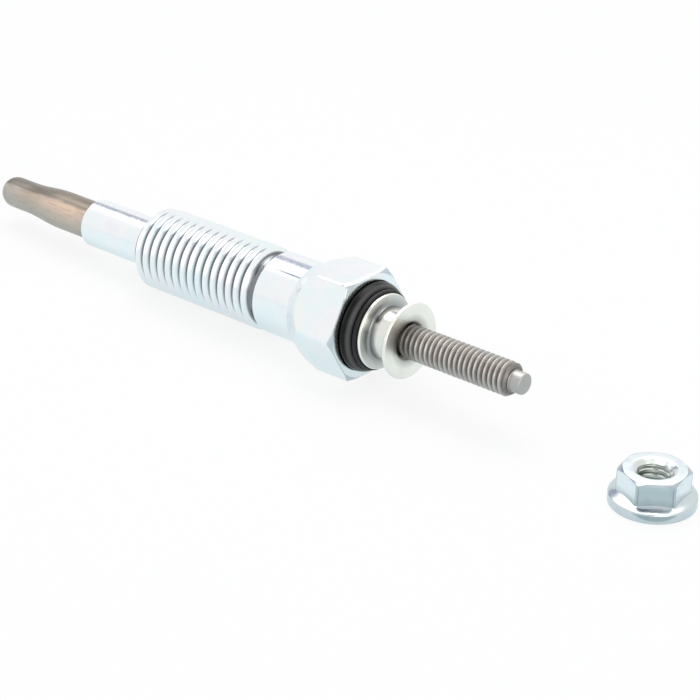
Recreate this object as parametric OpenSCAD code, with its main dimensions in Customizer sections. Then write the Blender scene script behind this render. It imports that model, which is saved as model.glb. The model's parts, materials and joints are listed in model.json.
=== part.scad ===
// Diesel glow plug with an M10 body thread, a screwed M4 terminal and its flange nut.
// The plug lies as it comes to rest, on its hexagon and its thread, with the tip towards -X.
// Its nut stands beside the terminal. The origin is on the plug's axis, where the thread ends.

/* [Body thread] */
// Outside diameter of the body thread
thread_d = 10; // [9:0.5:12]
// Pitch of the body thread
thread_pitch = 1.25; // [0.75:0.25:1.5]
// Length of the threaded part
thread_len = 18.75; // [10:0.25:30]
// Width of the relief groove behind the thread
relief_w = 1.4; // [1:0.1:2.5]
// Width of each sloping side of the relief groove
relief_slope = 0.3; // [0.1:0.05:0.45]

/* [Shell] */
// Diameter of the plain shank behind the relief groove
shank_d = 9.8; // [8.5:0.1:11]
// Length of the plain shank
shank_len = 5.4; // [1:0.1:15]
// Diameter of the barrel in front of the thread
barrel_d = 6; // [5.6:0.1:7]
// Length of the barrel in front of the sealing cone
barrel_len = 9.9; // [4:0.1:20]
// Included angle of the sealing cone between barrel and thread
seat_angle = 93; // [60:1:120]
// Bevel round the barrel's nose
nose_bevel = 0.25; // [0.1:0.05:0.4]
// Diameter of the bore that the rod passes through
bore_d = 5; // [4.9:0.1:5.5]

/* [Hexagon] */
// Width of the hexagon across its flats
hex_af = 12; // [10.5:0.5:14]
// Diameter that the hexagon's corners are turned down by
hex_corner_cut = 0.16; // [0:0.02:0.4]
// Length of the head, from the end of the shank to the rear face
head_len = 8.4; // [7:0.1:14]
// Angle between the head's front cone and the axis
head_cone = 30; // [25:1:45]
// Diameter of the turned face at the head's rear end
head_face_d = 12.6; // [12:0.1:13.2]
// Angle of the bevel round that face
head_bevel = 30; // [15:1:45]

/* [Sheath] */
// Diameter of the sheath where it leaves the shell
tube_d = 4.8; // [4.6:0.05:4.9]
// Diameter of the sheath at its swaged tip
tip_d = 3.9; // [3.6:0.1:4.4]
// Wall of the sheath
tube_wall = 0.45; // [0.35:0.05:0.5]
// Wall of the closed tip, along the axis
tip_wall = 0.6; // [0.45:0.05:0.9]
// Length of the tip, up to the taper
tip_len = 5.8; // [4:0.1:10]
// Length of the swaged taper
taper_len = 4.1; // [1:0.1:6]
// Length of the full-width sheath that shows
tube_out = 6.8; // [3:0.1:15]
// Length of the sheath that is held in the shell
tube_in = 14; // [10:0.5:16]

/* [Coils] */
// Diameter of both coils, at the middle of the wire
coil_d = 1.9; // [1.7:0.05:2]
// Wire of the heating coil
heat_wire = 0.35; // [0.25:0.05:0.4]
// Turns of the heating coil
heat_turns = 8; // [5:1:10]
// Pitch of the heating coil
heat_pitch = 0.8; // [0.7:0.05:1]
// Wire of the control coil
control_wire = 0.3; // [0.2:0.05:0.35]
// Turns of the control coil
control_turns = 12; // [8:1:14]
// Pitch of the control coil
control_pitch = 0.85; // [0.7:0.05:1]
// Length of the rod's stub inside the control coil
stub_len = 1.7; // [1:0.1:3]
// Length of the rubber seal in the sheath's mouth
seal_len = 3; // [1.5:0.1:4]

/* [Terminal] */
// Diameter of the rod inside the shell
rod_d = 3.2; // [2.8:0.1:3.4]
// Diameter of the rod under the bush and the collar, the blank that the terminal's thread is rolled on
rod_seat_d = 3.5; // [3.45:0.05:4]
// Outside diameter of the terminal's thread
stud_d = 4; // [4:0.25:4.5]
// Pitch of the terminal's thread
stud_pitch = 0.7; // [0.5:0.1:0.8]
// Length of the terminal beyond the collar
stud_len = 14.9; // [8:0.1:25]
// Diameter of the dog point at the terminal's end
dog_d = 2.5; // [2:0.1:2.8]
// Length of the dog point
dog_len = 1.5; // [0.5:0.1:3]
// Round edge of the dog point
dog_round = 0.3; // [0.1:0.05:0.5]
// Thickness of the sealing ring
ring_d = 2.1; // [1.5:0.1:2.5]
// Depth that the ring sits in the hexagon's rear face
ring_depth = 0.6; // [0.3:0.05:0.9]
// Angle between the ring's seat in that face and the axis
ring_seat = 45; // [35:1:55]
// Outside diameter of the insulating bush's neck
bush_neck_d = 6.4; // [6:0.1:7]
// Depth of the bush inside the shell
bush_in = 2.5; // [1.5:0.1:5]
// Diameter of the bush's flange
bush_flange_d = 9.5; // [9.2:0.1:11]
// Thickness of the bush's flange
bush_flange_t = 0.5; // [0.3:0.1:1.5]
// Diameter of the collar's two flanges
collar_d = 9; // [8:0.1:10]
// Thickness of each flange at its edge
collar_flange_t = 0.5; // [0.4:0.05:0.9]
// Diameter of the collar's waist
collar_waist_d = 6.2; // [5.8:0.1:7]
// Length of the waist between the flanges
collar_waist_len = 3.2; // [2:0.1:5]
// Hollow round between the waist and the flanges
collar_fillet = 0.5; // [0.2:0.05:0.9]
// Round edge of the collar's flanges
collar_round = 0.2; // [0.1:0.05:0.3]
// Diameter of the countersink in the collar's outer face
collar_sink_d = 4.7; // [4.5:0.1:6]

/* [Nut] */
// Width of the nut across its flats
nut_af = 7; // [6.5:0.5:8]
// Height of the nut
nut_h = 4.1; // [3.5:0.1:6]
// Diameter of the nut's flange
nut_flange_d = 9.6; // [9.4:0.1:12]
// Thickness of the flange at its edge
nut_flange_t = 1.1; // [0.5:0.1:1.5]
// Slope of the flange's top
nut_flange_slope = 17; // [10:1:35]
// Diameter of the countersinks at the nut's two ends
nut_sink_d = 4.85; // [4.7:0.05:5.2]
// Included angle of those countersinks
nut_sink_angle = 120; // [90:5:130]
// Angle of the bevel round the nut's top
nut_bevel = 30; // [15:1:35]
// Gap between the terminal's end and the middle of the nut, as it stands there
nut_gap = 18; // [10:0.5:40]
// How far the nut stands to the side of the plug
nut_side = -0.5; // [-20:0.5:20]
// Turn of the nut as it stands
nut_turn = 38.5; // [0:0.5:60]

/* [Fit] */
// Gap round a piece that is pressed or brazed in
press_gap = 0.02; // [0:0.01:0.05]
// Gap round a piece that is slid in
slide_gap = 0.05; // [0.02:0.01:0.1]

/* [Hidden] */
$fn = 96;

// Depth of a metric thread for each millimetre of pitch, outside and inside
outer_depth = 0.6134;
inner_depth = 0.5413;
// How far a cut runs past the end of a piece
overrun = 1;
// Largest share of a disc's thickness that a round edge takes
round_share = 0.45;

// Radii of the shell
thread_r = thread_d / 2;
root_r = thread_r - outer_depth * thread_pitch;
shank_r = shank_d / 2;
barrel_r = barrel_d / 2;
hex_corner_r = hex_af / sqrt(3);
head_corner_r = hex_corner_r - hex_corner_cut / 2;
head_face_r = min(head_face_d / 2, head_corner_r);

// Places along the axis, from the end of the thread
thread_front = -thread_len;
seat_front = thread_front - (root_r - barrel_r) / tan(seat_angle / 2);
nose = seat_front - barrel_len;
head_front = relief_w + shank_len;
head_rear = head_front + head_len;
flat_front = head_front + (hex_af / 2 - shank_r) / tan(head_cone);

// The sheath
tip_r = tip_d / 2;
tube_r = tube_d / 2;
tube_inner_r = tube_r - tube_wall;
tip_inner_r = tip_r - tube_wall;
tube_rear = nose + tube_in;
taper_rear = nose - tube_out;
taper_front = taper_rear - taper_len;
tip_end = taper_front - tip_len;
tip_inner_end = tip_end + tip_wall;
seal_front = tube_rear - seal_len;

// The coils, in line with each other and of one diameter
coil_r = coil_d / 2;
wire_sides = 6;
turn_steps = 16;
heat_start = tip_inner_end + heat_wire / 2;
heat_end = heat_start + heat_turns * heat_pitch;
control_end = heat_end + control_turns * control_pitch;
coil_wire_max = max(heat_wire, control_wire);
coil_space_in = coil_r - coil_wire_max / 2 - slide_gap;
coil_space_out = coil_r + coil_wire_max / 2 + slide_gap;

// The rod and its terminal
rod_front = control_end + control_wire;
stub_r = coil_r - control_wire / 2 - press_gap;
rod_seat_r = rod_seat_d / 2;
stud_r = stud_d / 2;
stud_root_r = stud_r - outer_depth * stud_pitch;
ring_r = bush_neck_d / 2 + slide_gap + ring_d / 2;
bush_front = head_rear - bush_in;
ring_place = head_rear - ring_depth + ring_d / 2;
bush_flange_front = ring_place + ring_d / 2;
collar_front = bush_flange_front + bush_flange_t;
collar_rear = collar_front + 2 * collar_flange_t + collar_waist_len;
stud_end = collar_rear + stud_len;
dog_end = stud_end + dog_len;

// The plug rolls onto a flat and tips forward until its thread, nose or tip meets the ground
function tip_angle(place, radius) = atan((hex_af / 2 - radius) / (flat_front - place));
rest_tilt = min(
    tip_angle(thread_front + thread_r - root_r, thread_r),
    tip_angle(nose + nose_bevel, barrel_r),
    tip_angle(tip_end + tip_r, tip_r));
ground = flat_front * sin(rest_tilt) - hex_af / 2 * cos(rest_tilt);

// The ring's conical seat touches the ring all round its front
seat_offset = ring_r * cos(ring_seat) - ring_place * sin(ring_seat) + ring_d / 2 + press_gap;
function ring_seat_r(place) = (seat_offset + place * sin(ring_seat)) / cos(ring_seat);
function ring_seat_place(radius) = (radius * cos(ring_seat) - seat_offset) / sin(ring_seat);

// The nut
nut_bore_r = (stud_d - 2 * inner_depth * stud_pitch) / 2;
nut_corner_r = nut_af / sqrt(3);

// Lays a piece that is drawn upright, tip down, along the plug's axis
module lying() {
    rotate([0, 90 - rest_tilt, 0]) children();
}

// A hexagonal bar with two flats facing up and down once it lies
module hexagon_bar(across, from, to) {
    translate([0, 0, from])
        rotate([0, 0, 30])
            cylinder(r = across / sqrt(3), h = to - from, $fn = 6);
}

// Half of a round-edged disc, as an outline to turn about the axis
module round_disc(radius, from, to, largest_edge) {
    edge = min(largest_edge, (to - from) * round_share);
    translate([0, from]) square([radius - edge, to - from]);
    translate([0, from + edge]) square([radius, to - from - 2 * edge]);
    for (place = [from + edge, to - edge])
        translate([radius - edge, place]) circle(r = edge);
}

// Outline of the sheath or of its inside, with a round end
module sheath_outline(end_radius, wide_radius, end, rear) {
    polygon([
        [0, end + end_radius],
        [end_radius, end + end_radius],
        [end_radius, taper_front],
        [wide_radius, taper_rear],
        [wide_radius, rear],
        [0, rear]]);
    intersection() {
        translate([0, end + end_radius]) circle(r = end_radius);
        translate([0, end]) square([end_radius, end_radius]);
    }
}

// Points of a coil, wound at one pitch, whose radius grows over its first lead turns
function coil_point(turn, start, pitch, lead) =
    let (radius = coil_r * (lead > 0 ? min(1, turn / lead) : 1))
    [radius * cos(360 * turn), radius * sin(360 * turn), start + pitch * turn];

function unit(v) = v / norm(v);

// Wire of a coil: rings of points square to the path, joined into one skin
module coil(turns, pitch, wire, start, lead = 0) {
    steps = turns * turn_steps;
    path = [for (i = [-1 : steps + 1]) coil_point(i / turn_steps, start, pitch, lead)];
    ring_points = [for (i = [1 : steps + 1])
        let (
            along = unit(path[i + 1] - path[i - 1]),
            up = unit([0, 0, 1] - along.z * along),
            across = cross(along, up))
        for (k = [0 : wire_sides - 1])
            path[i] + wire / 2 * (cos(360 * k / wire_sides) * across + sin(360 * k / wire_sides) * up)];
    sides = [for (i = [0 : steps - 1], k = [0 : wire_sides - 1])
        let (next = (k + 1) % wire_sides)
        [i * wire_sides + k, (i + 1) * wire_sides + k, (i + 1) * wire_sides + next, i * wire_sides + next]];
    front = [for (k = [0 : wire_sides - 1]) k];
    rear = [for (k = [wire_sides - 1 : -1 : 0]) steps * wire_sides + k];
    polyhedron(points = ring_points, faces = concat(sides, [front, rear]));
}

// Turned steel body: barrel, sealing cone, thread, relief groove, shank and hexagon, bored through
module shell() {
    mouth_r = bush_neck_d / 2 + slide_gap;
    relief_r = root_r - press_gap;
    cone_len = (head_corner_r - shank_r) / tan(head_cone);
    bevel_len = (head_corner_r - head_face_r) * tan(head_bevel);
    color("gainsboro") lying() difference() {
        union() {
            rotate_extrude() polygon([
                [0, nose],
                [barrel_r - nose_bevel, nose],
                [barrel_r, nose + nose_bevel],
                [barrel_r, seat_front],
                [root_r, thread_front],
                [thread_r, thread_front + thread_r - root_r],
                [thread_r, 0],
                [relief_r, relief_slope],
                [relief_r, relief_w - relief_slope],
                [shank_r, relief_w],
                [shank_r, head_front + cone_len],
                [0, head_front + cone_len]]);
            intersection() {
                hexagon_bar(hex_af, head_front, head_rear);
                rotate_extrude() polygon([
                    [0, head_front],
                    [shank_r, head_front],
                    [head_corner_r, head_front + cone_len],
                    [head_corner_r, head_rear - bevel_len],
                    [head_face_r, head_rear],
                    [0, head_rear]]);
            }
        }
        rotate_extrude() polygon([
            [0, nose - overrun],
            [tube_r + press_gap, nose - overrun],
            [tube_r + press_gap, tube_rear],
            [bore_d / 2, tube_rear],
            [bore_d / 2, bush_front],
            [mouth_r, bush_front],
            [mouth_r, ring_seat_place(mouth_r)],
            [ring_seat_r(head_rear + overrun), head_rear + overrun],
            [0, head_rear + overrun]]);
    }
}

// Heat-proof steel tube with a closed round end, swaged down over the heating coil
module sheath_tube() {
    color("tan") lying() rotate_extrude() difference() {
        sheath_outline(tip_r, tube_r, tip_end, tube_rear);
        sheath_outline(tip_inner_r, tube_inner_r, tip_inner_end, tube_rear + overrun);
    }
}

// Heating wire, welded to the inside of the tip at its front end
module heating_coil() {
    color("dimgray") lying() coil(heat_turns, heat_pitch, heat_wire, heat_start, lead = 1);
}

// Control wire, welded to the heating coil in front and wound onto the rod's stub behind
module control_coil() {
    color("darkgray") lying() coil(control_turns, control_pitch, control_wire, heat_end);
}

// Packed magnesia powder round the coils and the rod, and in the middle of the coils
module magnesia_filling() {
    coil_front = heat_start + heat_pitch;
    color("whitesmoke") lying() rotate_extrude() {
        difference() {
            sheath_outline(
                tip_inner_r - press_gap,
                tube_inner_r - press_gap,
                tip_inner_end + press_gap,
                seal_front);
            polygon([
                [0, tip_inner_end],
                [heat_wire + slide_gap, tip_inner_end],
                [coil_space_out, coil_front],
                [coil_space_out, rod_front],
                [rod_d / 2 + press_gap, rod_front],
                [rod_d / 2 + press_gap, tube_rear],
                [0, tube_rear]]);
        }
        translate([0, coil_front + heat_wire])
            square([coil_space_in, rod_front - stub_len - press_gap - coil_front - heat_wire]);
    }
}

// Rubber seal that closes the mouth of the sheath round the rod
module tube_seal() {
    color("brown") lying() rotate_extrude()
        translate([rod_d / 2 + press_gap, seal_front + press_gap])
            square([tube_inner_r - rod_d / 2 - 2 * press_gap, seal_len - press_gap]);
}

// Steel rod that carries the current: stub, plain rod, threaded terminal and dog point
module center_rod() {
    bevel = (stud_r - stud_root_r) / 2;
    color("rosybrown") lying() rotate_extrude() {
        polygon([
            [0, rod_front - stub_len],
            [stub_r, rod_front - stub_len],
            [stub_r, rod_front],
            [rod_d / 2, rod_front],
            [rod_d / 2, bush_front],
            [rod_seat_r, bush_front],
            [rod_seat_r, collar_rear],
            [stud_r, collar_rear],
            [stud_r, stud_end - bevel],
            [stud_r - bevel, stud_end],
            [0, stud_end]]);
        round_disc(dog_d / 2, stud_end - dog_len, dog_end, dog_round);
    }
}

// Black insulating bush: a neck in the shell's mouth and a flange under the collar
module insulating_bush() {
    color("black") lying() rotate_extrude() difference() {
        union() {
            translate([0, bush_front + press_gap]) square([bush_neck_d / 2, bush_flange_front - bush_front]);
            translate([0, bush_flange_front]) square([bush_flange_d / 2, bush_flange_t]);
        }
        translate([0, bush_front]) square([rod_seat_r + slide_gap, collar_front - bush_front]);
    }
}

// Rubber ring in its seat in the hexagon's rear face, held down by the bush's flange
module o_ring() {
    color("black") lying()
        rotate_extrude()
            translate([ring_r, ring_place]) circle(d = ring_d);
}

// Turned collar with two flanges and a waist, pressed onto the terminal over the bush
module crimp_collar() {
    hole_r = rod_seat_r + press_gap;
    sink = collar_sink_d / 2 - hole_r;
    waist_r = collar_waist_d / 2;
    waist_front = collar_front + collar_flange_t;
    fillet = min(collar_fillet, collar_waist_len * round_share, (collar_d / 2 - waist_r) * round_share);
    color("silver") lying() rotate_extrude() difference() {
        union() {
            translate([0, collar_front]) square([waist_r, collar_rear - collar_front]);
            for (place = [collar_front, collar_rear - collar_flange_t])
                round_disc(collar_d / 2, place, place + collar_flange_t, collar_round);
            difference() {
                translate([0, waist_front]) square([waist_r + fillet, collar_waist_len]);
                for (place = [fillet, collar_waist_len - fillet])
                    translate([waist_r + fillet, waist_front + place]) circle(r = fillet);
                translate([waist_r, waist_front + fillet])
                    square([fillet + overrun, collar_waist_len - 2 * fillet]);
            }
        }
        polygon([
            [0, collar_front],
            [hole_r, collar_front],
            [hole_r, collar_rear - sink],
            [hole_r + sink, collar_rear],
            [0, collar_rear]]);
    }
}

// Hexagonal flange nut for the terminal, taken off and standing on the ground
module terminal_nut() {
    skirt_len = (nut_flange_d / 2 - nut_af / 2) * tan(nut_flange_slope);
    bevel_len = (nut_corner_r - nut_af / 2) * tan(nut_bevel);
    sink_len = (nut_sink_d / 2 - nut_bore_r) / tan(nut_sink_angle / 2);
    color("lightsteelblue")
        translate([dog_end * cos(rest_tilt) + nut_gap, nut_side, ground])
            rotate([0, 0, nut_turn]) difference() {
                union() {
                    rotate_extrude() polygon([
                        [0, 0],
                        [nut_flange_d / 2, 0],
                        [nut_flange_d / 2, nut_flange_t],
                        [nut_af / 2, nut_flange_t + skirt_len],
                        [0, nut_flange_t + skirt_len]]);
                    intersection() {
                        cylinder(r = nut_corner_r, h = nut_h, $fn = 6);
                        rotate_extrude() polygon([
                            [0, 0],
                            [nut_corner_r, 0],
                            [nut_corner_r, nut_h - bevel_len],
                            [nut_af / 2, nut_h],
                            [0, nut_h]]);
                    }
                }
                rotate_extrude() polygon([
                    [0, 0],
                    [nut_sink_d / 2, 0],
                    [nut_bore_r, sink_len],
                    [nut_bore_r, nut_h - sink_len],
                    [nut_sink_d / 2, nut_h],
                    [0, nut_h]]);
            }
}

shell();
sheath_tube();
heating_coil();
control_coil();
magnesia_filling();
tube_seal();
center_rod();
insulating_bush();
o_ring();
crimp_collar();
terminal_nut();
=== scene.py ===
import json
import math

import bmesh
import bpy
from mathutils import Matrix, Vector


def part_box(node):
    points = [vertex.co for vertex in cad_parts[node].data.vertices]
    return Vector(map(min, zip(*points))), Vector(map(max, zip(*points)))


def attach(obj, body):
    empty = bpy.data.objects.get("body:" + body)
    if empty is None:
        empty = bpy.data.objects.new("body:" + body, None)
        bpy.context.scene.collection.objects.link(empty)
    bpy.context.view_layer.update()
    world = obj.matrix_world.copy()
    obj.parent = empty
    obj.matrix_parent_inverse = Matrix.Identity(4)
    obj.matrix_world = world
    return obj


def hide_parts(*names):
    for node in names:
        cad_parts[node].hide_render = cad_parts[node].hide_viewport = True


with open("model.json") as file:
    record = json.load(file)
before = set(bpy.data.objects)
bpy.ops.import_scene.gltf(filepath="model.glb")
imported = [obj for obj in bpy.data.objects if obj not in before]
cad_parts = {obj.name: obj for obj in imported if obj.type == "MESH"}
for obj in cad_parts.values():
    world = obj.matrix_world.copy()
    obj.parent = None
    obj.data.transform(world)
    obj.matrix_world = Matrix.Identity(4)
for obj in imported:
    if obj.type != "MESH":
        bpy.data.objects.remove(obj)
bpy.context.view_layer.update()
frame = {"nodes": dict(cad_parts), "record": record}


# Centre rod: a steel rod that brings the current to the coils. It is turned down to a stub for the
# control coil in front, and its rear end has a rolled M4 thread and a dog point that guides the nut.
# Sizes are in millimetres, and stations along the plug count from the rear end of the body thread.
MM = 0.001
ROD_STUB_R = 0.78
ROD_STUB_FRONT = -30.57
ROD_STUB_REAR = -28.87
ROD_R = 1.6
ROD_EASE = 0.08
BUSH_FRONT = 12.7
BLANK_R = 1.75
COLLAR_REAR = 21.4
STUD_R = 2.0
STUD_PITCH = 0.7
THREAD_DEPTH = 0.6134
THREAD_START = 21.0
STUD_END = 36.3
DOG_R = 1.25
DOG_END = 37.8
DOG_FOOT = 0.1
DOG_EASE = 0.3
ROD_COLUMNS = 96
SHARP_EDGE = math.radians(40)
SAME_POINT = 1e-7
MICROMETRE = 1e-6
THREAD_SOIL = (0.34, 0.275, 0.25)
CHAMFER_PAINTED_SHADE = (0.22, 0.215, 0.205)
DOG_GREY = (0.475, 0.465, 0.445)
COLLAR_PAINTED_SHADE = (0.10, 0.095, 0.085)

# The plug lies tilted, as it comes to rest, so its turned pieces are drawn upright with the hot tip down
# and are laid along the axis of its own terminal.
mounts = {mount["name"]: mount for mount in frame["record"]["mounts"]}
along = Vector(mounts["terminal_stud"]["axis"]).normalized()
sideways = Vector((0, 1, 0))
plug_place = Matrix.Translation(Vector(mounts["head_thread"]["pos_m"])) @ Matrix(
    (sideways.cross(along), sideways, along)).transposed().to_4x4()


def eased(outline, ease, steps=4):
    """Rounds every inner corner of an outline of (radius, station) points."""
    soft = [outline[0]]
    for before, corner, after in zip(outline, outline[1:], outline[2:]):
        corner = Vector(corner)
        back, on = Vector(before) - corner, Vector(after) - corner
        reach = min(ease, 0.45 * back.length, 0.45 * on.length)
        first, last = corner + back.normalized() * reach, corner + on.normalized() * reach
        for k in range(steps + 1):
            t = k / steps
            soft.append(tuple(first * (1 - t) ** 2 + corner * (2 * t * (1 - t)) + last * t ** 2))
    soft.append(outline[-1])
    return soft


def round_angles(columns):
    return [math.tau * k / columns for k in range(columns + 1)]


def turned_rows(outline, angles):
    return [[point] * len(angles) for point in outline]


def thread_section(crest, root):
    """One pitch of a 60 degree thread from crest to crest, as (share of the pitch, radius)."""
    half = [(0, 0), (0.05, 0), (0.085, 0.05), (0.25, 0.5), (0.4, 0.95), (0.44, 1)]
    shares = half + [(1 - place, depth) for place, depth in reversed(half[1:])]
    return [(place, crest + (root - crest) * depth) for place, depth in shares]


def thread_rows(angles, pitch, start, stop, section, cut):
    """Rows that follow a right-hand helix, with cut(station, radius) shaping the thread's two ends."""
    rows = []
    for turn in range(math.floor(start / pitch) - 1, math.ceil(stop / pitch) + 1):
        for share, radius in section:
            stations = [min(max((turn + share + a / math.tau) * pitch, start), stop) for a in angles]
            rows.append([(cut(s, radius), s) for s in stations])
    return rows


def skin(name, rows, angles, place):
    """Joins rows of (radius, station) points round an axis into one closed piece."""
    form = bmesh.new()
    rings = [[form.verts.new((r * math.cos(a) * MM, r * math.sin(a) * MM, s * MM))
              for a, (r, s) in zip(angles, row)] for row in rows]
    for ring, following in zip(rings, rings[1:]):
        for k in range(len(angles) - 1):
            form.faces.new((ring[k], ring[k + 1], following[k + 1], following[k]))
    bmesh.ops.remove_doubles(form, verts=form.verts, dist=SAME_POINT)
    bmesh.ops.recalc_face_normals(form, faces=form.faces)
    mesh = bpy.data.meshes.new(name)
    form.to_mesh(mesh)
    form.free()
    mesh.shade_smooth()
    mesh.set_sharp_from_angle(angle=SHARP_EDGE)
    piece = bpy.data.objects.new(name, mesh)
    piece.matrix_world = place
    bpy.context.scene.collection.objects.link(piece)
    piece.modifiers.new("even_shading", "WEIGHTED_NORMAL").keep_sharp = True
    return piece


def fit(piece, node, material):
    """Puts a finished piece in the place of its solid."""
    piece.data.materials.append(material)
    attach(piece, "root")
    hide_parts(node)


def add_node(tree, kind, sockets=None, **settings):
    """A shader node with its settings made, and its sockets filled or linked."""
    node = tree.nodes.new("ShaderNode" + kind)
    for setting, value in settings.items():
        setattr(node, setting, value)
    for socket, value in (sockets or {}).items():
        if isinstance(value, bpy.types.NodeSocket):
            tree.links.new(value, node.inputs[socket])
        else:
            node.inputs[socket].default_value = value
    return node


class Finish:
    """A material whose colour, roughness and relief are made by nodes, with places in millimetres."""

    def __init__(self, name, **fixed):
        self.material = bpy.data.materials.new(name)
        self.material.use_nodes = True
        self.tree = self.material.node_tree
        self.shader = next(n for n in self.tree.nodes if n.type == "BSDF_PRINCIPLED")
        for socket, value in fixed.items():
            self.shader.inputs[socket.replace("_", " ")].default_value = value
        in_metres = self.add("TexCoord").outputs["Object"]
        self.place = self.vector("MULTIPLY", in_metres, (1 / MM, 1 / MM, 1 / MM)).outputs[0]
        self.station = self.add("SeparateXYZ", {"Vector": self.place}).outputs["Z"]
        flat = self.vector("MULTIPLY", self.place, (1, 1, 0)).outputs[0]
        self.radius = self.vector("LENGTH", flat).outputs["Value"]
        self.colour = None

    def add(self, kind, sockets=None, **settings):
        return add_node(self.tree, kind, sockets, **settings)

    def vector(self, operation, a, b=(0, 0, 0)):
        return self.add("VectorMath", {0: a, 1: b}, operation=operation)

    def maths(self, operation, a, b=0.0):
        return self.add("Math", {0: a, 1: b}, operation=operation).outputs[0]

    def times(self, first, *others):
        for other in others:
            first = self.maths("MULTIPLY", first, other)
        return first

    def between(self, value, low, high):
        """1 between two limits and 0 outside them."""
        return self.times(self.maths("GREATER_THAN", value, low), self.maths("LESS_THAN", value, high))

    def span(self, value, low, high, to_low=0.0, to_high=1.0):
        """Carries a value over from one range to another, and holds it at the ends."""
        return self.add("MapRange", {"Value": value, "From Min": low, "From Max": high, "To Min": to_low,
                                     "To Max": to_high}).outputs["Result"]

    def uneven(self, noise, low, high):
        """A value that wanders between two limits with the noise."""
        return self.span(noise, 0.3, 0.7, low, high)

    def side(self, towards):
        """How far the surface lies towards one side of the axis, from -1 to 1."""
        reach = self.vector("DOT_PRODUCT", self.place, towards).outputs["Value"]
        return self.maths("DIVIDE", reach, self.radius)

    def clouds(self, size, detail=3.0, stretch=(1, 1, 1)):
        """Noise with features of about this size, stretched along the axes of the piece."""
        at = self.vector("MULTIPLY", self.place, stretch).outputs[0]
        return self.add("TexNoise", {"Vector": at, "Scale": 1 / size, "Detail": detail,
                                     "Roughness": 0.55}).outputs["Fac"]

    def lines(self, value, size):
        """Fine lines left by a cutting tool, across a length or a radius."""
        return self.add("TexNoise", {"W": value, "Scale": 1 / size, "Detail": 2.0},
                        noise_dimensions="1D").outputs["Fac"]

    def ramp(self, value, *stops):
        """Takes the colour from stops of (place, colour)."""
        node = self.add("ValToRGB", {"Fac": value})
        points = node.color_ramp.elements
        while len(points) < len(stops):
            points.new(1.0)
        for point, (where, colour) in zip(points, stops):
            point.position = where
            point.color = (*colour, 1)
        self.colour = node.outputs["Color"]

    def blend(self, share, first, second):
        """Takes the colour from two colours, with this share of the second."""
        self.colour = self.add(
            "Mix", {0: share, 6: (*first, 1), 7: (*second, 1)}, data_type="RGBA").outputs[2]

    def stain(self, share, colour):
        """Lays this share of another colour over the colour so far."""
        self.colour = self.add(
            "Mix", {0: share, 6: self.colour, 7: (*colour, 1)}, data_type="RGBA").outputs[2]

    def wear(self, rough, relief, depth):
        """Completes the material with its roughness and a fine relief, some micrometres deep."""
        bump = self.add("Bump", {"Height": relief, "Distance": depth * MICROMETRE, "Strength": 1.0})
        self.tree.links.new(self.colour, self.shader.inputs["Base Color"])
        self.tree.links.new(rough, self.shader.inputs["Roughness"])
        self.tree.links.new(bump.outputs["Normal"], self.shader.inputs["Normal"])
        return self.material


stud_root = STUD_R - THREAD_DEPTH * STUD_PITCH


def stud_ends(station, radius):
    """The thread grows out of the blank under the collar and ends in a 45 degree chamfer."""
    start = min(1.0, (station - THREAD_START) / (COLLAR_REAR - THREAD_START))
    grown = BLANK_R + (radius - BLANK_R) * start * start * (3 - 2 * start)
    return min(grown, stud_root + STUD_END - station)


rod_angles = round_angles(ROD_COLUMNS)
rod_rows = turned_rows(eased([
    (0, ROD_STUB_FRONT), (ROD_STUB_R, ROD_STUB_FRONT), (ROD_STUB_R, ROD_STUB_REAR), (ROD_R, ROD_STUB_REAR),
    (ROD_R, BUSH_FRONT), (BLANK_R, BUSH_FRONT), (BLANK_R, THREAD_START)], ROD_EASE), rod_angles)
rod_rows += thread_rows(
    rod_angles, STUD_PITCH, THREAD_START, STUD_END, thread_section(STUD_R, stud_root), stud_ends)
rod_rows += turned_rows([(stud_root, STUD_END)] + eased([
    (DOG_R + DOG_FOOT, STUD_END), (DOG_R, STUD_END + DOG_FOOT), (DOG_R, DOG_END), (0, DOG_END)],
    DOG_EASE, 6), rod_angles)
center_rod = skin("rod_with_terminal", rod_rows, rod_angles, plug_place)

rod_steel = Finish("rolled_rod_steel", Metallic=1.0)
# The colour darkens from the thread crests down to the roots: painted shade in the thread grooves.
rod_steel.ramp(
    rod_steel.span(rod_steel.radius, stud_root, STUD_R),
    (0.0, (0.22, 0.19, 0.175)), (0.4, (0.37, 0.34, 0.32)),
    (0.85, (0.52, 0.505, 0.48)), (1.0, (0.58, 0.565, 0.54)))
rod_soil = rod_steel.clouds(1.2, 4.0)
rod_steel.stain(rod_steel.span(rod_soil, 0.45, 0.75, 0.0, 0.45), THREAD_SOIL)
# The thread's end chamfer at the foot of the dog point is darkened: painted shade.
rod_steel.stain(rod_steel.span(rod_steel.station, STUD_END - 0.6, STUD_END - 0.2, 0.0, 0.7), CHAMFER_PAINTED_SHADE)
rod_steel.stain(rod_steel.maths("GREATER_THAN", rod_steel.station, STUD_END + 0.05), DOG_GREY)
# The stud's first threads behind the collar are darkened: painted shade next to the collar.
rod_steel.stain(
    rod_steel.span(rod_steel.station, COLLAR_REAR + 0.5, COLLAR_REAR + 2.6, 0.75, 0.0), COLLAR_PAINTED_SHADE)
fit(center_rod, "center_rod", rod_steel.wear(
    rod_steel.uneven(rod_soil, 0.38, 0.52), rod_steel.clouds(0.15, 2.0), 3))


# Heating coil and control coil: two resistance wires in series, wound on one mandrel and welded end to
# end. The heating wire glows in the tip, and the control wire behind it limits the current.
HEATING_BRIGHT, HEATING_SCALE = (0.42, 0.41, 0.40), (0.24, 0.20, 0.19)
CONTROL_BRIGHT, CONTROL_SCALE = (0.55, 0.53, 0.50), (0.35, 0.31, 0.28)


def dress(node, material):
    """Gives its finish to a solid that keeps its own shape."""
    slots = frame["nodes"][node].data.materials
    slots.clear()
    slots.append(material)


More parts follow.
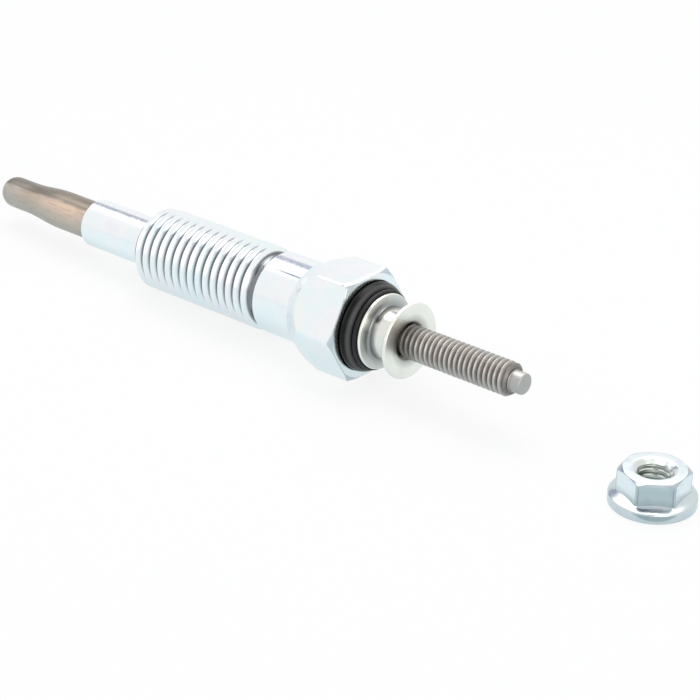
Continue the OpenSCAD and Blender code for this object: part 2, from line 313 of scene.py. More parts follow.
def drawn_wire(name, bright, scale):
    """Wire with patches of scale on it, and fine grain from the drawing die."""
    wire = Finish(name, Metallic=1.0)
    grain = wire.clouds(0.15, 3.0)
    wire.blend(wire.span(wire.clouds(2.5, 2.0), 0.35, 0.7), bright, scale)
    return wire.wear(wire.uneven(grain, 0.35, 0.6), grain, 4)


dress("heating_coil", drawn_wire("heating_wire", HEATING_BRIGHT, HEATING_SCALE))
dress("control_coil", drawn_wire("control_wire", CONTROL_BRIGHT, CONTROL_SCALE))


# Magnesia filling: fine white oxide powder, shaken in round the coils and packed hard when the sheath
# is swaged. It insulates the coils and the rod and carries their heat out.
POWDER_WHITE, POWDER_GREY = (0.93, 0.92, 0.88), (0.84, 0.82, 0.76)
powder = Finish("packed_magnesia", Specular_IOR_Level=0.2)
powder_grain = powder.clouds(0.08, 5.0)
powder.blend(powder.clouds(1.5), POWDER_WHITE, POWDER_GREY)
dress("magnesia_filling", powder.wear(powder.span(powder_grain, 0.2, 0.8, 0.85, 1.0), powder_grain, 30))


# Tube seal: a brown rubber plug that closes the mouth of the sheath round the rod, so that no damp gets
# into the powder. It is pushed in before the sheath is swaged.
SEAL_LIGHT, SEAL_DARK = (0.40, 0.16, 0.10), (0.30, 0.11, 0.07)
seal = Finish("moulded_seal_rubber")
seal_grain = seal.clouds(0.2, 4.0)
seal.blend(seal.clouds(1.0), SEAL_LIGHT, SEAL_DARK)
dress("tube_seal", seal.wear(seal.uneven(seal_grain, 0.55, 0.75), seal_grain, 10))


# Sheath tube: heat-proof nickel steel, drawn, closed by a weld at the tip and swaged thinner over the
# heating coil. Firing has tinted it brown. Its upper side is darkened as a painted reflection, and its lower
# side greyed as painted shade. It is pressed into the barrel of the shell.
TIP_END = -46.52
TIP_R = 1.95
TIP_WALL = 0.6
TUBE_R = 2.4
TUBE_WALL = 0.45
TUBE_REAR = -15.82
TAPER_FRONT = -40.72
TAPER_REAR = -36.62
TAPER_EASE = 1.2
PLAIN_TUBE = -34.0
SHELL_NOSE = -29.82
TUBE_COLUMNS = 96
UPPER_SIDE = (-0.98, 0.17, 0)
LOWER_SIDE = (0.82, -0.57, 0)
UPPER_PAINTED_REFLECTION = (0.20, 0.185, 0.155)
LOWER_PAINTED_SHADE = (0.42, 0.395, 0.365)
STREAK_TINT = (0.27, 0.24, 0.21)


def round_end(radius, end, steps=14):
    """Quarter circle from the axis out to the full radius."""
    turns = [math.pi / 2 * k / steps for k in range(steps + 1)]
    return [(radius * math.sin(turn), end + radius * (1 - math.cos(turn))) for turn in turns]


def turned(name, outline, columns):
    """A piece with one outline all round the plug's axis."""
    angles = round_angles(columns)
    return skin(name, turned_rows(outline, angles), angles, plug_place)


inner_tip_r = TIP_R - TUBE_WALL
inner_tube_r = TUBE_R - TUBE_WALL
inner_end = TIP_END + TIP_WALL
tube_outside = eased([
    (TIP_R, TIP_END + TIP_R), (TIP_R, TAPER_FRONT), (TUBE_R, TAPER_REAR), (TUBE_R, PLAIN_TUBE)],
    TAPER_EASE, 8)
tube_mouth = [(TUBE_R, TUBE_REAR), (inner_tube_r, TUBE_REAR)]
tube_inside = eased([
    (inner_tube_r, PLAIN_TUBE), (inner_tube_r, TAPER_REAR), (inner_tip_r, TAPER_FRONT),
    (inner_tip_r, inner_end + inner_tip_r)], TAPER_EASE, 8)
sheath = turned(
    "swaged_sheath", round_end(TIP_R, TIP_END) + tube_outside + tube_mouth + tube_inside
    + round_end(inner_tip_r, inner_end)[::-1], TUBE_COLUMNS)

sheath_steel = Finish("heat_tinted_sheath_steel_painted_shade", Metallic=1.0)
sheath_cloud = sheath_steel.clouds(1.6, 4.0, (1, 1, 0.5))
sheath_run = sheath_steel.maths("ADD", sheath_steel.span(sheath_steel.station, TIP_END, SHELL_NOSE),
                                sheath_steel.uneven(sheath_cloud, -0.08, 0.08))
sheath_steel.ramp(
    sheath_run, (0.0, (0.40, 0.385, 0.31)), (0.14, (0.58, 0.51, 0.47)), (0.36, (0.54, 0.46, 0.37)),
    (0.62, (0.73, 0.57, 0.47)), (0.86, (0.80, 0.61, 0.47)), (1.0, (0.62, 0.52, 0.45)))
sheath_edge = sheath_steel.uneven(sheath_cloud, -0.05, 0.05)
# The upper side is darkened: a painted dark reflection.
sheath_reflection_side = sheath_steel.maths("ADD", sheath_steel.side(UPPER_SIDE), sheath_edge)
sheath_steel.stain(sheath_steel.span(sheath_reflection_side, 0.60, 0.74, 0.0, 0.85), UPPER_PAINTED_REFLECTION)
# The lower side is greyed: painted shade.
sheath_shade_side = sheath_steel.maths("ADD", sheath_steel.side(LOWER_SIDE), sheath_edge)
sheath_steel.stain(sheath_steel.span(sheath_shade_side, 0.0, 0.75, 0.0, 0.78), LOWER_PAINTED_SHADE)
sheath_streaks = sheath_steel.clouds(0.25, 4.0, (1, 1, 0.12))
sheath_steel.stain(sheath_steel.span(sheath_streaks, 0.5, 0.8, 0.0, 0.55), STREAK_TINT)
fit(sheath, "sheath_tube", sheath_steel.wear(
    sheath_steel.uneven(sheath_cloud, 0.27, 0.4), sheath_streaks, 4))


# Shell: one piece of steel, turned and bored from hexagon bar, with the M10 body thread rolled on and
# bright zinc plate all over. The sheath is pressed into its barrel, and the bush into its rear mouth.
THREAD_R = 5.0
THREAD_PITCH = 1.25
THREAD_FRONT = -18.75
SEAT_FRONT = -19.92
BARREL_R = 3.0
NOSE_BEVEL = 0.25
RELIEF_R = 4.213
RELIEF_FRONT, RELIEF_FLOOR_END, RELIEF_REAR = 0.3, 1.1, 1.4
SHANK_R = 4.9
HEAD_FRONT = 6.8
HEAD_REAR = 15.2
HEX_FLAT = 6.0
HEX_CORNER_R = 6.848
HEX_TURN = 30
HEAD_FACE_R = 6.3
HEAD_ANGLE = math.radians(30)
HEAD_SLOPE = math.tan(HEAD_ANGLE)
HEAD_COLUMNS = 24
EDGE = 0.11
NOSE_EASE, RELIEF_EASE, MOUTH_EASE = 0.09, 0.12, 0.1
PRESS_R = TUBE_R + 0.02
PRESS_SEAM = TUBE_REAR - 4
RING_SEAT_R = 5.363
RING_SEAT_FLOOR = 13.087
FACE_MIDDLE_R = 5.75
RECESS_R = 3.25
BORE_R = 2.5
GROOVE_PAINTED_SHADE = (0.16, 0.17, 0.19)
EDGE_PAINTED_REFLECTION = (0.33, 0.37, 0.42)
thread_root = THREAD_R - THREAD_DEPTH * THREAD_PITCH


def hex_angles(first_corner, between):
    """Angles round a hexagon from 0 to a full turn, with close columns at its corners."""
    close = [0, 0.6, 1.18, 1.8]
    step = (60 - 2 * close[-1]) / between
    offsets = close + [close[-1] + step * k for k in range(1, between)] + [60 - c for c in close[1:]]
    degrees = {round(first_corner + 60 * flat + offset, 6) % 360 for flat in range(6) for offset in offsets}
    return [math.radians(d) for d in sorted(degrees)] + [math.tau]


def hex_reach(angle, first_corner, flat, corner):
    """Radius of a hexagon with its corners turned down, in this direction."""
    off = (math.degrees(angle) - first_corner + 30) % 60 - 30
    return min(flat / math.cos(math.radians(30 - abs(off))), corner)


def body_ends(station, radius):
    """The thread ends in a 45 degree chamfer in front and runs down into the relief groove behind."""
    slope = (THREAD_R - RELIEF_R) / RELIEF_FRONT
    return min(radius, thread_root + station - THREAD_FRONT, THREAD_R - max(station, 0) * slope)


shell_angles = hex_angles(HEX_TURN, HEAD_COLUMNS)
bar = [hex_reach(a, HEX_TURN, HEX_FLAT, HEX_CORNER_R) for a in shell_angles]
cone_end = [HEAD_FRONT + (r - SHANK_R) / HEAD_SLOPE for r in bar]
bevel_start = [HEAD_REAR - max(0, r - HEAD_FACE_R) * HEAD_SLOPE for r in bar]
face = [min(r, HEAD_FACE_R) for r in bar]

shell_rows = turned_rows(eased([
    (PRESS_R, PRESS_SEAM), (PRESS_R, SHELL_NOSE), (BARREL_R - NOSE_BEVEL, SHELL_NOSE),
    (BARREL_R, SHELL_NOSE + NOSE_BEVEL), (BARREL_R, SEAT_FRONT), (thread_root, THREAD_FRONT)],
    NOSE_EASE), shell_angles)
shell_rows += thread_rows(
    shell_angles, THREAD_PITCH, THREAD_FRONT, RELIEF_FRONT, thread_section(THREAD_R, thread_root), body_ends)
shell_rows += turned_rows(eased([
    (RELIEF_R, RELIEF_FRONT), (RELIEF_R, RELIEF_FLOOR_END), (SHANK_R, RELIEF_REAR), (SHANK_R, HEAD_FRONT)],
    RELIEF_EASE), shell_angles)
for share in (0.05, 0.4, 0.75):
    shell_rows.append([(SHANK_R + share * (r - SHANK_R), HEAD_FRONT + share * (s - HEAD_FRONT))
                       for r, s in zip(bar, cone_end)])
for before, after in ((EDGE, 0), (EDGE / 4, EDGE / 4), (0, EDGE)):
    shell_rows.append([(r - before * math.sin(HEAD_ANGLE), s - before * math.cos(HEAD_ANGLE) + after)
                       for r, s in zip(bar, cone_end)])
shell_rows.append([(r, s + 1.0) for r, s in zip(bar, cone_end)])
for before in (1.0, EDGE):
    shell_rows.append([(r, s - before) for r, s in zip(bar, bevel_start)])
for share in (0.12, 0.88):
    shell_rows.append([(r + share * (f - r) - EDGE / 4, s + share * (HEAD_REAR - s) - EDGE / 4)
                       for r, f, s in zip(bar, face, bevel_start)])
shell_rows.append([(f - EDGE, HEAD_REAR) for f in face])
shell_rows += turned_rows(eased([
    (FACE_MIDDLE_R, HEAD_REAR), (RING_SEAT_R, HEAD_REAR), (RECESS_R, RING_SEAT_FLOOR), (RECESS_R, BUSH_FRONT),
    (BORE_R, BUSH_FRONT), (BORE_R, TUBE_REAR), (PRESS_R, TUBE_REAR), (PRESS_R, PRESS_SEAM)],
    MOUTH_EASE), shell_angles)
shell = skin("threaded_shell", shell_rows, shell_angles, plug_place)

zinc = Finish("bright_zinc_plate", Metallic=1.0)
zinc.ramp(
    zinc.clouds(5.0, 3.0), (0.30, (0.89, 0.89, 0.94)), (0.44, (0.92, 0.93, 0.935)),
    (0.58, (0.86, 0.93, 0.95)), (0.72, (0.92, 0.94, 0.88)))
# The body thread's grooves and the relief groove are darkened towards their floors: painted shade.
zinc_groove_shade = zinc.times(
    zinc.span(zinc.radius, thread_root + 0.14, thread_root + 0.36, 0.97, 0.0),
    zinc.span(zinc.station, 0.0, RELIEF_FRONT, 1.0, 0.92),
    zinc.between(zinc.station, THREAD_FRONT, RELIEF_REAR))
zinc.stain(zinc_groove_shade, GROOVE_PAINTED_SHADE)
# The hexagon's rear chamfer and the band in front of its rear face are greyed: painted dark reflection.
bevel_top = HEAD_REAR + HEAD_FACE_R * HEAD_SLOPE
zinc_bevel = zinc.maths("ADD", zinc.station, zinc.times(zinc.radius, HEAD_SLOPE))
zinc_edge_reflection = zinc.maths("MAXIMUM", zinc.span(zinc_bevel, bevel_top - 0.12, bevel_top - 0.05),
                       zinc.span(zinc.station, HEAD_REAR - 0.16, HEAD_REAR - 0.08))
zinc.stain(zinc.times(zinc_edge_reflection, zinc.maths("LESS_THAN", zinc.station, HEAD_REAR - 0.01), 0.55), EDGE_PAINTED_REFLECTION)
zinc_end = zinc.maths("GREATER_THAN", zinc.station, HEAD_REAR - 0.05)
zinc_rough = zinc.maths("ADD", zinc.uneven(zinc.clouds(0.5, 4.0), 0.16, 0.24), zinc.times(zinc_end, 0.08))
fit(shell, "shell", zinc.wear(zinc_rough, zinc.lines(zinc.station, 0.11), 1))


# Sealing ring: a black rubber O-ring on the bush's neck, pressed by the bush's flange into a conical seat
# in the hexagon's rear face. The mould has left a fine parting line round its outside.
RING_R = 4.3
RING_HALF = 1.05
RING_FLAT = 0.004
RING_PLACE = 15.65
RING_STEPS = 48
RING_COLUMNS = 128
PARTING_LINE = 0.02
PARTING_WIDTH = 0.09
HIGHLIGHT_TURN = 0.75
RUBBER_BLACK, RUBBER_DUST = (0.006, 0.006, 0.006), (0.018, 0.018, 0.017)
RUBBER_PAINTED_HIGHLIGHT = (0.105, 0.103, 0.102)

ring_outline = []
for k in range(RING_STEPS + 1):
    turn = math.tau * k / RING_STEPS
    flash = PARTING_LINE * math.exp(-(min(turn, math.tau - turn) / PARTING_WIDTH) ** 2)
    ring_outline.append((RING_R + (RING_HALF + flash - PARTING_LINE) * math.cos(turn),
                         RING_PLACE + (RING_HALF - RING_FLAT) * math.sin(turn)))
o_ring = turned("sealing_ring", ring_outline, RING_COLUMNS)

ring_rubber = Finish("oiled_black_rubber_painted_highlight", Specular_IOR_Level=0.14)
ring_dust = ring_rubber.clouds(1.4, 4.0)
ring_rubber.blend(ring_rubber.span(ring_dust, 0.45, 0.8), RUBBER_BLACK, RUBBER_DUST)
# A lighter band runs round the ring at one angle of its section: a painted highlight.
ring_turn = ring_rubber.maths("ARCTAN2", ring_rubber.maths("SUBTRACT", ring_rubber.station, RING_PLACE),
                              ring_rubber.maths("SUBTRACT", ring_rubber.radius, RING_R))
ring_highlight_band = ring_rubber.maths("ABSOLUTE", ring_rubber.maths("SUBTRACT", ring_turn, HIGHLIGHT_TURN))
ring_rubber.stain(ring_rubber.span(ring_highlight_band, 0.06, 0.42, 0.9, 0.0), RUBBER_PAINTED_HIGHLIGHT)
fit(o_ring, "o_ring", ring_rubber.wear(
    ring_rubber.uneven(ring_dust, 0.16, 0.26), ring_rubber.clouds(0.15, 4.0), 3))


# Insulating bush: black moulded plastic. Its neck sits in the shell's mouth and keeps the rod off it, and
# its thin flange is held under the collar.
BUSH_HOLE_R = 1.8
BUSH_NECK_R = 3.2
BUSH_END = BUSH_FRONT + 0.02
BUSH_SEAM = 15.0
BUSH_FLANGE_R = 4.75
BUSH_FLANGE_FRONT = 16.7
COLLAR_FRONT = 17.2
BUSH_EASE = 0.1
BUSH_COLUMNS = 96
PLASTIC_BLACK, PLASTIC_WORN = (0.011, 0.011, 0.012), (0.020, 0.019, 0.019)

bush = turned("terminal_bush", eased([
    (BUSH_HOLE_R, BUSH_SEAM), (BUSH_HOLE_R, BUSH_END), (BUSH_NECK_R, BUSH_END),
    (BUSH_NECK_R, BUSH_FLANGE_FRONT), (BUSH_FLANGE_R, BUSH_FLANGE_FRONT), (BUSH_FLANGE_R, COLLAR_FRONT),
    (BUSH_HOLE_R, COLLAR_FRONT), (BUSH_HOLE_R, BUSH_SEAM)], BUSH_EASE), BUSH_COLUMNS)

bush_plastic = Finish("black_bush_plastic", Specular_IOR_Level=0.3)
bush_grain = bush_plastic.clouds(0.1, 4.0)
bush_plastic.blend(bush_plastic.clouds(0.8), PLASTIC_BLACK, PLASTIC_WORN)
fit(bush, "insulating_bush", bush_plastic.wear(
    bush_plastic.uneven(bush_grain, 0.38, 0.55), bush_grain, 8))


# Collar: a spool turned from steel and brightly plated. It is pressed onto the terminal and crimped at
# its waist, and holds the bush and the ring down on the shell.
COLLAR_R = 4.5
COLLAR_FLANGE = 0.5
COLLAR_EASE = 0.2
WAIST_R = 3.1
WAIST_FRONT, WAIST_REAR = COLLAR_FRONT + COLLAR_FLANGE, COLLAR_REAR - COLLAR_FLANGE
WAIST_FILLET = 0.5
FLANGE_MIDDLE_R = 4.0
COLLAR_HOLE_R = 1.77
COLLAR_SINK_R = 2.35
COLLAR_SEAM = 19.5
COLLAR_COLUMNS = 128
WAIST_PAINTED_SHADE = (0.25, 0.265, 0.265)
FACE_PAINTED_SHADE = (0.25, 0.25, 0.235)

collar_front = eased([
    (COLLAR_HOLE_R, COLLAR_SEAM), (COLLAR_HOLE_R, COLLAR_FRONT), (COLLAR_R, COLLAR_FRONT),
    (COLLAR_R, WAIST_FRONT), (FLANGE_MIDDLE_R, WAIST_FRONT)], COLLAR_EASE, 6)
collar_waist = eased([
    (FLANGE_MIDDLE_R, WAIST_FRONT), (WAIST_R, WAIST_FRONT), (WAIST_R, WAIST_REAR),
    (FLANGE_MIDDLE_R, WAIST_REAR)], WAIST_FILLET, 10)
collar_rear = eased([
    (FLANGE_MIDDLE_R, WAIST_REAR), (COLLAR_R, WAIST_REAR), (COLLAR_R, COLLAR_REAR),
    (COLLAR_SINK_R, COLLAR_REAR), (COLLAR_HOLE_R, COLLAR_REAR - COLLAR_SINK_R + COLLAR_HOLE_R),
    (COLLAR_HOLE_R, COLLAR_SEAM)], COLLAR_EASE, 6)
collar = turned("spool_collar", collar_front + collar_waist + collar_rear, COLLAR_COLUMNS)

collar_steel = Finish("bright_turned_collar", Metallic=1.0)
collar_cloud = collar_steel.clouds(2.5, 3.0)
collar_steel.ramp(
    collar_cloud, (0.35, (0.88, 0.86, 0.79)), (0.55, (0.93, 0.91, 0.85)), (0.7, (0.89, 0.90, 0.86)))
# The waist is darkened towards its root and next to the front flange: painted shade in the groove.
collar_waist_shade = collar_steel.times(
    collar_steel.between(collar_steel.station, WAIST_FRONT - 0.02, WAIST_REAR + 0.02),
    collar_steel.span(collar_steel.radius, WAIST_R, COLLAR_R, 0.95, 0.3),
    collar_steel.span(collar_steel.station, WAIST_FRONT + 0.35, WAIST_FRONT + 1.2, 1.0, 0.2))
collar_steel.stain(collar_waist_shade, WAIST_PAINTED_SHADE)
collar_face = collar_steel.maths("GREATER_THAN", collar_steel.station, COLLAR_REAR - 0.3)
# The rear face is darkened round the foot of the stud: painted shade.
collar_steel.stain(
    collar_steel.times(collar_face, collar_steel.span(collar_steel.radius, 2.1, 3.3, 0.8, 0.0)), FACE_PAINTED_SHADE)
collar_rough = collar_steel.maths(
    "ADD", collar_steel.uneven(collar_cloud, 0.13, 0.2), collar_steel.times(collar_face, 0.2))
collar_lines = collar_steel.lines(collar_steel.maths("ADD", collar_steel.radius, collar_steel.station), 0.09)
fit(collar, "crimp_collar", collar_steel.wear(collar_rough, collar_lines, 2))


# Terminal nut: an M4 hexagon nut with a flange, cold-formed, tapped and zinc plated. It is shown taken
# off, standing on its flange beside the terminal.
NUT_FLAT = 3.5
NUT_CORNER = NUT_FLAT * 2 / math.sqrt(3)
NUT_CORNER_DOWN = 0.05
NUT_HEIGHT = 4.1
NUT_FLANGE_R = 4.8
NUT_FLANGE_EDGE = 1.1
NUT_SKIRT = math.tan(math.radians(17))
NUT_SKIRT_TOP_R = NUT_CORNER + 0.2
NUT_EASE = 0.16
NUT_BEVEL = math.tan(math.radians(30))
NUT_SINK_R = 2.425
NUT_SINK_SLOPE = math.tan(math.radians(60))
NUT_BORE_R = 1.621
NUT_TURN = 38.5
NUT_COLUMNS = 18
NUT_EDGE_START = 1.42
NUT_FOOT_ROWS = ((0.12, 0), (0.03, 0.03), (0, 0.14))
NUT_CROWN_ROWS = ((0, -0.1), (-0.03, -0.01))
BORE_GREY = (0.66, 0.68, 0.63)
ROOT_PAINTED_SHADE, ROOT_PAINTED_SHADE_SHARE = (0.22, 0.25, 0.29), 0.3
NUT_EDGE_PAINTED_REFLECTION = (0.30, 0.34, 0.38)
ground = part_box("terminal_nut")[0].z


def nut_mouths(station, radius):
    """The thread is countersunk at both ends."""
    return max(radius, NUT_SINK_R - NUT_SINK_SLOPE * station,
               NUT_SINK_R - NUT_SINK_SLOPE * (NUT_HEIGHT - station))


nut_angles = hex_angles(0, NUT_COLUMNS)
nut_bar = [hex_reach(a, 0, NUT_FLAT, NUT_CORNER - NUT_CORNER_DOWN) for a in nut_angles]
skirt_end = [NUT_FLANGE_EDGE + (NUT_FLANGE_R - r) * NUT_SKIRT for r in nut_bar]
crown_start = [NUT_HEIGHT - (r - NUT_FLAT) * NUT_BEVEL for r in nut_bar]
nut_rows = turned_rows(eased([
    (NUT_SINK_R, 0), (NUT_FLANGE_R, 0), (NUT_FLANGE_R, NUT_FLANGE_EDGE),
    (NUT_SKIRT_TOP_R, NUT_FLANGE_EDGE + (NUT_FLANGE_R - NUT_SKIRT_TOP_R) * NUT_SKIRT)], NUT_EASE), nut_angles)
for out, up in NUT_FOOT_ROWS:
    nut_rows.append([(r + out, s - out * NUT_SKIRT + up) for r, s in zip(nut_bar, skirt_end)])
nut_rows.append([(r, (s + e) / 2) for r, s, e in zip(nut_bar, skirt_end, crown_start)])
for out, up in NUT_CROWN_ROWS:
    nut_rows.append([(r + out, s + up) for r, s in zip(nut_bar, crown_start)])
for share in (0.5, 0.1):
    nut_rows.append([(NUT_FLAT + share * (r - NUT_FLAT) - 0.03, NUT_HEIGHT - share * (NUT_HEIGHT - s) - 0.01)
                     for r, s in zip(nut_bar, crown_start)])
nut_rows += turned_rows([(NUT_FLAT - 0.15, NUT_HEIGHT), (NUT_SINK_R + 0.08, NUT_HEIGHT)], nut_angles)
nut_rows += thread_rows(
    nut_angles, STUD_PITCH, 0, NUT_HEIGHT, thread_section(NUT_BORE_R, STUD_R), nut_mouths)[::-1]
nut_centre = Vector(mounts["nut_thread"]["pos_m"])
nut_place = Matrix.Translation((nut_centre.x, nut_centre.y, ground)) @ Matrix.Rotation(
    math.radians(NUT_TURN), 4, "Z")
nut = skin("flange_nut", nut_rows, nut_angles, nut_place)

nut_steel = Finish("blue_zinc_nut", Metallic=1.0)
nut_cloud = nut_steel.clouds(2.0, 3.0)
nut_steel.ramp(
    nut_cloud, (0.35, (0.72, 0.80, 0.85)), (0.5, (0.82, 0.87, 0.89)), (0.65, (0.76, 0.86, 0.87)))
nut_steel.stain(nut_steel.span(nut_steel.radius, 2.1, 2.45, 0.75, 0.0), BORE_GREY)
skirt_top = NUT_FLANGE_EDGE + NUT_FLANGE_R * NUT_SKIRT
nut_skirt = nut_steel.maths("ADD", nut_steel.station, nut_steel.times(nut_steel.radius, NUT_SKIRT))
# The flange and the foot of the flats above it are darkened: painted shade.
nut_root_shade = nut_steel.times(
    nut_steel.span(nut_skirt, skirt_top + 0.05, skirt_top + 0.9, 1.0, 0.0),
    ROOT_PAINTED_SHADE_SHARE,
    nut_steel.maths("GREATER_THAN", nut_steel.radius, NUT_FLAT - 0.1))
nut_steel.stain(nut_root_shade, ROOT_PAINTED_SHADE)
# The hexagon's corners and the crown chamfer are greyed: painted dark reflection.
nut_corner_reflection = nut_steel.times(
    nut_steel.span(nut_steel.radius, NUT_CORNER - 0.14, NUT_CORNER - 0.07),
    nut_steel.maths("GREATER_THAN", nut_steel.station, NUT_EDGE_START))
crown_top = NUT_HEIGHT + NUT_FLAT * NUT_BEVEL
nut_crown = nut_steel.maths("ADD", nut_steel.station, nut_steel.times(nut_steel.radius, NUT_BEVEL))
nut_crown = nut_steel.times(
    nut_steel.span(nut_crown, crown_top - 0.16, crown_top - 0.08),
    nut_steel.maths("LESS_THAN", nut_steel.station, NUT_HEIGHT - 0.02))
nut_steel.stain(nut_steel.times(nut_steel.maths("MAXIMUM", nut_corner_reflection, nut_crown), 0.6), NUT_EDGE_PAINTED_REFLECTION)
fit(nut, "terminal_nut", nut_steel.wear(
    nut_steel.uneven(nut_cloud, 0.15, 0.23), nut_steel.clouds(0.4, 3.0), 3))


# Table, light and camera: a pale paper sheet in a white room, with one large soft lamp over the plug and
# one at its side. Four grey and blue cards, which only shiny surfaces see, draw the edges of the metal.
TABLE_HALF = 1.5
PAPER_GREY = (0.9, 0.9, 0.9)
PAPER_TO_EYE, PAPER_TO_METAL = 0.86, 0.75
PAPER_SHEEN = (0.88, 0.97, 1.0)
WALL_COLOUR, WALL_LIGHT = (0.90, 0.96, 1.0), 0.6
WALL_SHEEN = (0.97, 0.98, 0.985)
WHITE = (1, 1, 1)
CAMERA_ROUND, CAMERA_ABOVE, CAMERA_ROLL = (math.radians(d) for d in (40.992, 27.384, 1.673))
CAMERA_STATION = 14.884
CAMERA_LEFT, CAMERA_DOWN, CAMERA_AWAY = 1.968, 2.877, 297.6
CAMERA_LENS, CAMERA_SENSOR = 134.27, 36
LAMP_SPREAD = math.radians(70)
VIOLET_SHADE, VIOLET_AWAY = (0.30, 0.32, 0.44), 0.35
BLUE_SHADE, BLUE_HEIGHT = (0.36, 0.44, 0.60), 0.23
NUT_SHADE, NUT_SHADE_FRONT, NUT_SHADE_LIFT = (0.50, 0.60, 0.62), 5.2, 0.1
DARK_SHADE, DARK_AWAY = (0.10, 0.10, 0.13), 0.5
DARK_STEEP, DARK_LEVEL = 0.866, 0.5


def bare_tree(owner):
    owner.use_nodes = True
    owner.node_tree.nodes.clear()
    return owner.node_tree


def flat_sheet(name, corners, material):
    """A four-cornered sheet that belongs to the stage."""
    mesh = bpy.data.meshes.new(name)
    mesh.from_pydata(corners, [], [(0, 1, 2, 3)])
    mesh.materials.append(material)
    sheet = bpy.data.objects.new(name, mesh)
    bpy.context.scene.collection.objects.link(sheet)
    return sheet


def corners_of(middle, across, up, wide, high):
    """Corners of a sheet that reaches over these two ranges from a point."""
    return [middle + across * x + up * y for x, y in (
        (wide[0], high[0]), (wide[1], high[0]), (wide[1], high[1]), (wide[0], high[1]))]


paper = bpy.data.materials.new("white_paper")
paper_tree = bare_tree(paper)
rays = add_node(paper_tree, "LightPath").outputs
mirrored = add_node(paper_tree, "Math", {0: rays["Is Glossy Ray"], 1: rays["Is Transmission Ray"]},
                    operation="MAXIMUM").outputs[0]
to_eye = add_node(paper_tree, "Math", {0: rays["Is Camera Ray"], 1: PAPER_TO_EYE},
                  operation="MULTIPLY").outputs[0]
to_metal = add_node(paper_tree, "Math", {0: mirrored, 1: PAPER_TO_METAL}, operation="MULTIPLY").outputs[0]
to_both = add_node(paper_tree, "Math", {0: to_eye, 1: to_metal}, operation="MAXIMUM").outputs[0]
paper_white = add_node(paper_tree, "Mix", {0: mirrored, 6: (*WHITE, 1), 7: (*PAPER_SHEEN, 1)},
                       data_type="RGBA").outputs[2]
paper_matt = add_node(paper_tree, "BsdfDiffuse", {"Color": (*PAPER_GREY, 1)}).outputs[0]
paper_bright = add_node(paper_tree, "Emission", {"Color": paper_white, "Strength": 1.0}).outputs[0]
paper_mix = add_node(paper_tree, "MixShader", {0: to_both, 1: paper_matt, 2: paper_bright}).outputs[0]
add_node(paper_tree, "OutputMaterial", {"Surface": paper_mix})
flat_sheet("table_sheet", corners_of(
    Vector((0, 0, ground)), Vector((1, 0, 0)), Vector((0, 1, 0)), (-TABLE_HALF, TABLE_HALF),
    (-TABLE_HALF, TABLE_HALF)), paper)

room = bpy.data.worlds.new("white_room")
bpy.context.scene.world = room
room_tree = bare_tree(room)
rays = add_node(room_tree, "LightPath").outputs
direct = add_node(room_tree, "Math", {0: rays["Is Camera Ray"], 1: rays["Is Glossy Ray"]},
                  operation="MAXIMUM").outputs[0]
direct = add_node(room_tree, "Math", {0: direct, 1: rays["Is Transmission Ray"]},
                  operation="MAXIMUM").outputs[0]
room_white = add_node(room_tree, "Mix", {0: rays["Is Camera Ray"], 6: (*WALL_SHEEN, 1), 7: (*WHITE, 1)},
                      data_type="RGBA").outputs[2]
walls = add_node(room_tree, "Background", {"Color": (*WALL_COLOUR, 1), "Strength": WALL_LIGHT}).outputs[0]
backdrop = add_node(room_tree, "Background", {"Color": room_white, "Strength": 1.0}).outputs[0]
room_mix = add_node(room_tree, "MixShader", {0: direct, 1: walls, 2: backdrop}).outputs[0]
add_node(room_tree, "OutputWorld", {"Surface": room_mix})

upward = Vector((0, 0, 1))
level = Vector((math.cos(CAMERA_ROUND), math.sin(CAMERA_ROUND), 0))
behind = Vector((-level.y, level.x, 0))
away = upward * math.sin(CAMERA_ABOVE) - behind * math.cos(CAMERA_ABOVE)
upright = away.cross(level)
across = level * math.cos(CAMERA_ROLL) + upright * math.sin(CAMERA_ROLL)
steep = upright * math.cos(CAMERA_ROLL) - level * math.sin(CAMERA_ROLL)
aim = plug_place @ Vector((0, 0, CAMERA_STATION * MM))
lens = bpy.data.cameras.new("camera")
lens.lens = CAMERA_LENS
lens.sensor_width = CAMERA_SENSOR
lens.clip_start, lens.clip_end = 0.01, 20
camera = bpy.data.objects.new("camera", lens)
camera.matrix_world = Matrix.Translation(
    aim + (away * CAMERA_AWAY - across * CAMERA_LEFT - steep * CAMERA_DOWN) * MM) @ Matrix(
    (across, steep, away)).transposed().to_4x4()
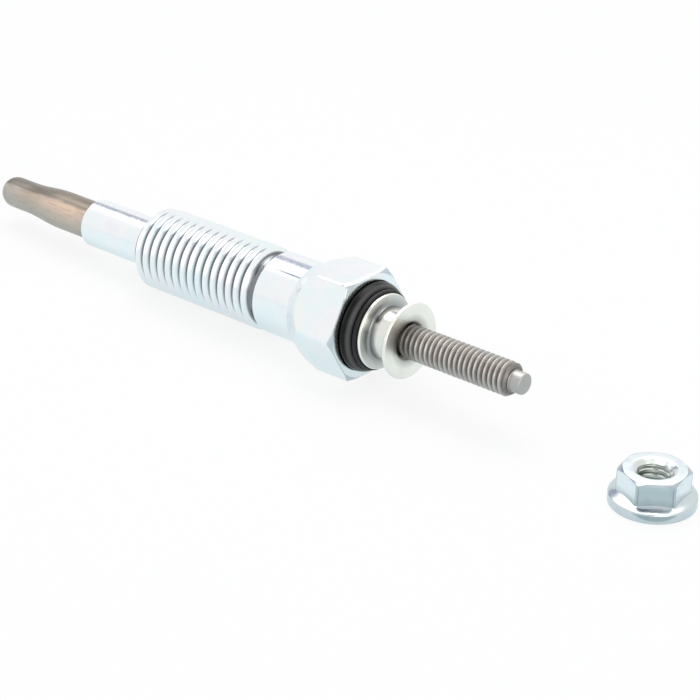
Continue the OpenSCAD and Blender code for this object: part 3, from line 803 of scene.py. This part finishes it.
bpy.context.scene.collection.objects.link(camera)
bpy.context.scene.camera = camera


def soft_lamp(name, place, size, watts, colour):
    """An area lamp that is turned to the plug's middle."""
    light = bpy.data.lights.new(name, "AREA")
    light.shape = "RECTANGLE"
    light.size, light.size_y = size
    light.energy = watts
    light.color = colour
    light.spread = LAMP_SPREAD
    lamp = bpy.data.objects.new(name, light)
    lamp.location = place
    lamp.rotation_euler = (Vector(place) * -1).to_track_quat("-Z", "Y").to_euler()
    bpy.context.scene.collection.objects.link(lamp)


soft_lamp("top_lamp", (-0.16, 0.14, 0.45), (0.6, 0.5), 0.5, (1.0, 0.97, 0.93))
soft_lamp("side_lamp", (0.42, -0.22, 0.22), (0.35, 0.35), 0.10, (1.0, 0.98, 0.96))


def shade_card(name, corners, colour):
    """A flat card that shows in shiny surfaces only."""
    tinted = bpy.data.materials.new(name)
    tree = bare_tree(tinted)
    shade = add_node(tree, "Emission", {"Color": (*colour, 1)}).outputs[0]
    add_node(tree, "OutputMaterial", {"Surface": shade})
    card = flat_sheet(name, corners, tinted)
    card.visible_camera = card.visible_diffuse = card.visible_shadow = False


shade_card("violet_card", corners_of(
    behind * VIOLET_AWAY, level, upward, (-0.4, -0.01), (0.19, 0.33)), VIOLET_SHADE)
shade_card("blue_card", corners_of(
    upward * BLUE_HEIGHT, Vector((1, 0, 0)), Vector((0, 1, 0)), (-0.15, -0.05), (-0.1, 0.0)), BLUE_SHADE)
nut_front = nut_centre - behind * NUT_SHADE_FRONT * MM
nut_front.z = ground + NUT_SHADE_LIFT * MM
shade_card("nut_card", corners_of(nut_front, level * MM, -behind * MM, (-4, 4), (0, 16)), NUT_SHADE)
dark_place = nut_centre + (upward * DARK_STEEP - behind * DARK_LEVEL) * DARK_AWAY
dark_upwards = behind * DARK_STEEP + upward * DARK_LEVEL
shade_card("dark_room", corners_of(dark_place, level, dark_upwards, (-0.1, 0.1), (-0.13, 0.13)), DARK_SHADE)

bpy.context.scene.view_settings.view_transform = "Standard"
